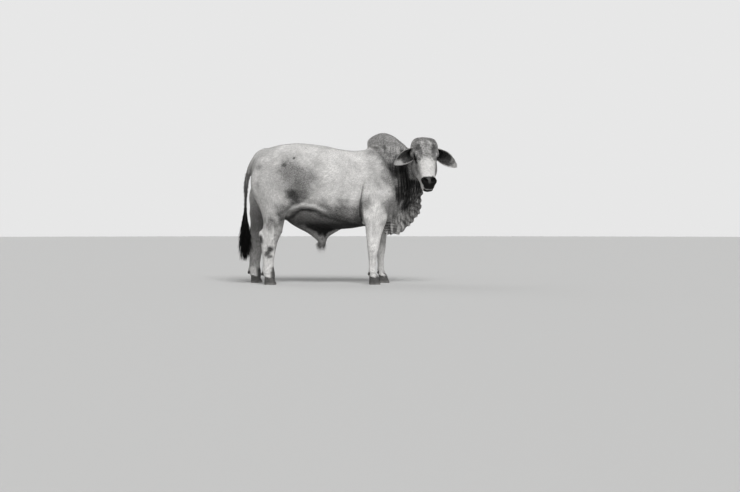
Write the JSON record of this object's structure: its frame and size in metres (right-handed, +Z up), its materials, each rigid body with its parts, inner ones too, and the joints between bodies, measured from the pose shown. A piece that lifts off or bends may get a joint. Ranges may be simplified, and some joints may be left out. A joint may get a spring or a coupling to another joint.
{
  "type": "brahman bull figure",
  "caption": "Life-size standing Brahman bull with shoulder hump, hanging dewlap, drooping ears and cloven hooves, its head turned to its right.",
  "frame": {"origin": "on the floor, under the middle of the bull's bounding box", "axes": "+X towards the bull's front, +Y towards its left side, +Z up"},
  "size_m": [2.2552, 0.8037, 1.557],
  "materials": {
    "grey_hide": "short smooth light grey hair",
    "pale_hide": "short smooth near-white hair",
    "slate_hide": "short mid grey hair",
    "dark_hide": "short dark grey hair in folds",
    "black_hair": "long coarse black hair",
    "hoof_horn": "dark dusty horn",
    "eye_surface": "wet dark eye"
  },
  "bodies": {
    "root": {"claw_fore_left_inner": "hoof_horn", "claw_fore_left_outer": "hoof_horn", "claw_fore_right_inner": "hoof_horn", "claw_fore_right_outer": "hoof_horn", "claw_hind_left_inner": "hoof_horn", "claw_hind_left_outer": "hoof_horn", "claw_hind_right_inner": "hoof_horn", "claw_hind_right_outer": "hoof_horn", "dewclaw_fore_left_inner": "hoof_horn", "dewclaw_fore_left_outer": "hoof_horn", "dewclaw_fore_right_inner": "hoof_horn", "dewclaw_fore_right_outer": "hoof_horn", "dewclaw_hind_left_inner": "hoof_horn", "dewclaw_hind_left_outer": "hoof_horn", "dewclaw_hind_right_inner": "hoof_horn", "dewclaw_hind_right_outer": "hoof_horn", "dewlap": "slate_hide", "ear_left": "grey_hide", "ear_right": "grey_hide", "eye_left": "eye_surface", "eye_right": "eye_surface", "head": "grey_hide", "hump": "slate_hide", "leg_fore_left_lower": "pale_hide", "leg_fore_left_upper": "pale_hide", "leg_fore_right_lower": "pale_hide", "leg_fore_right_upper": "pale_hide", "leg_hind_left_lower": "pale_hide", "leg_hind_left_upper": "pale_hide", "leg_hind_right_lower": "pale_hide", "leg_hind_right_upper": "pale_hide", "neck": "dark_hide", "scrotum": "slate_hide", "sheath": "pale_hide", "tail_lower": "grey_hide", "tail_switch": "black_hair", "tail_upper": "grey_hide", "torso": "grey_hide"}
  },
  "joints": []
}
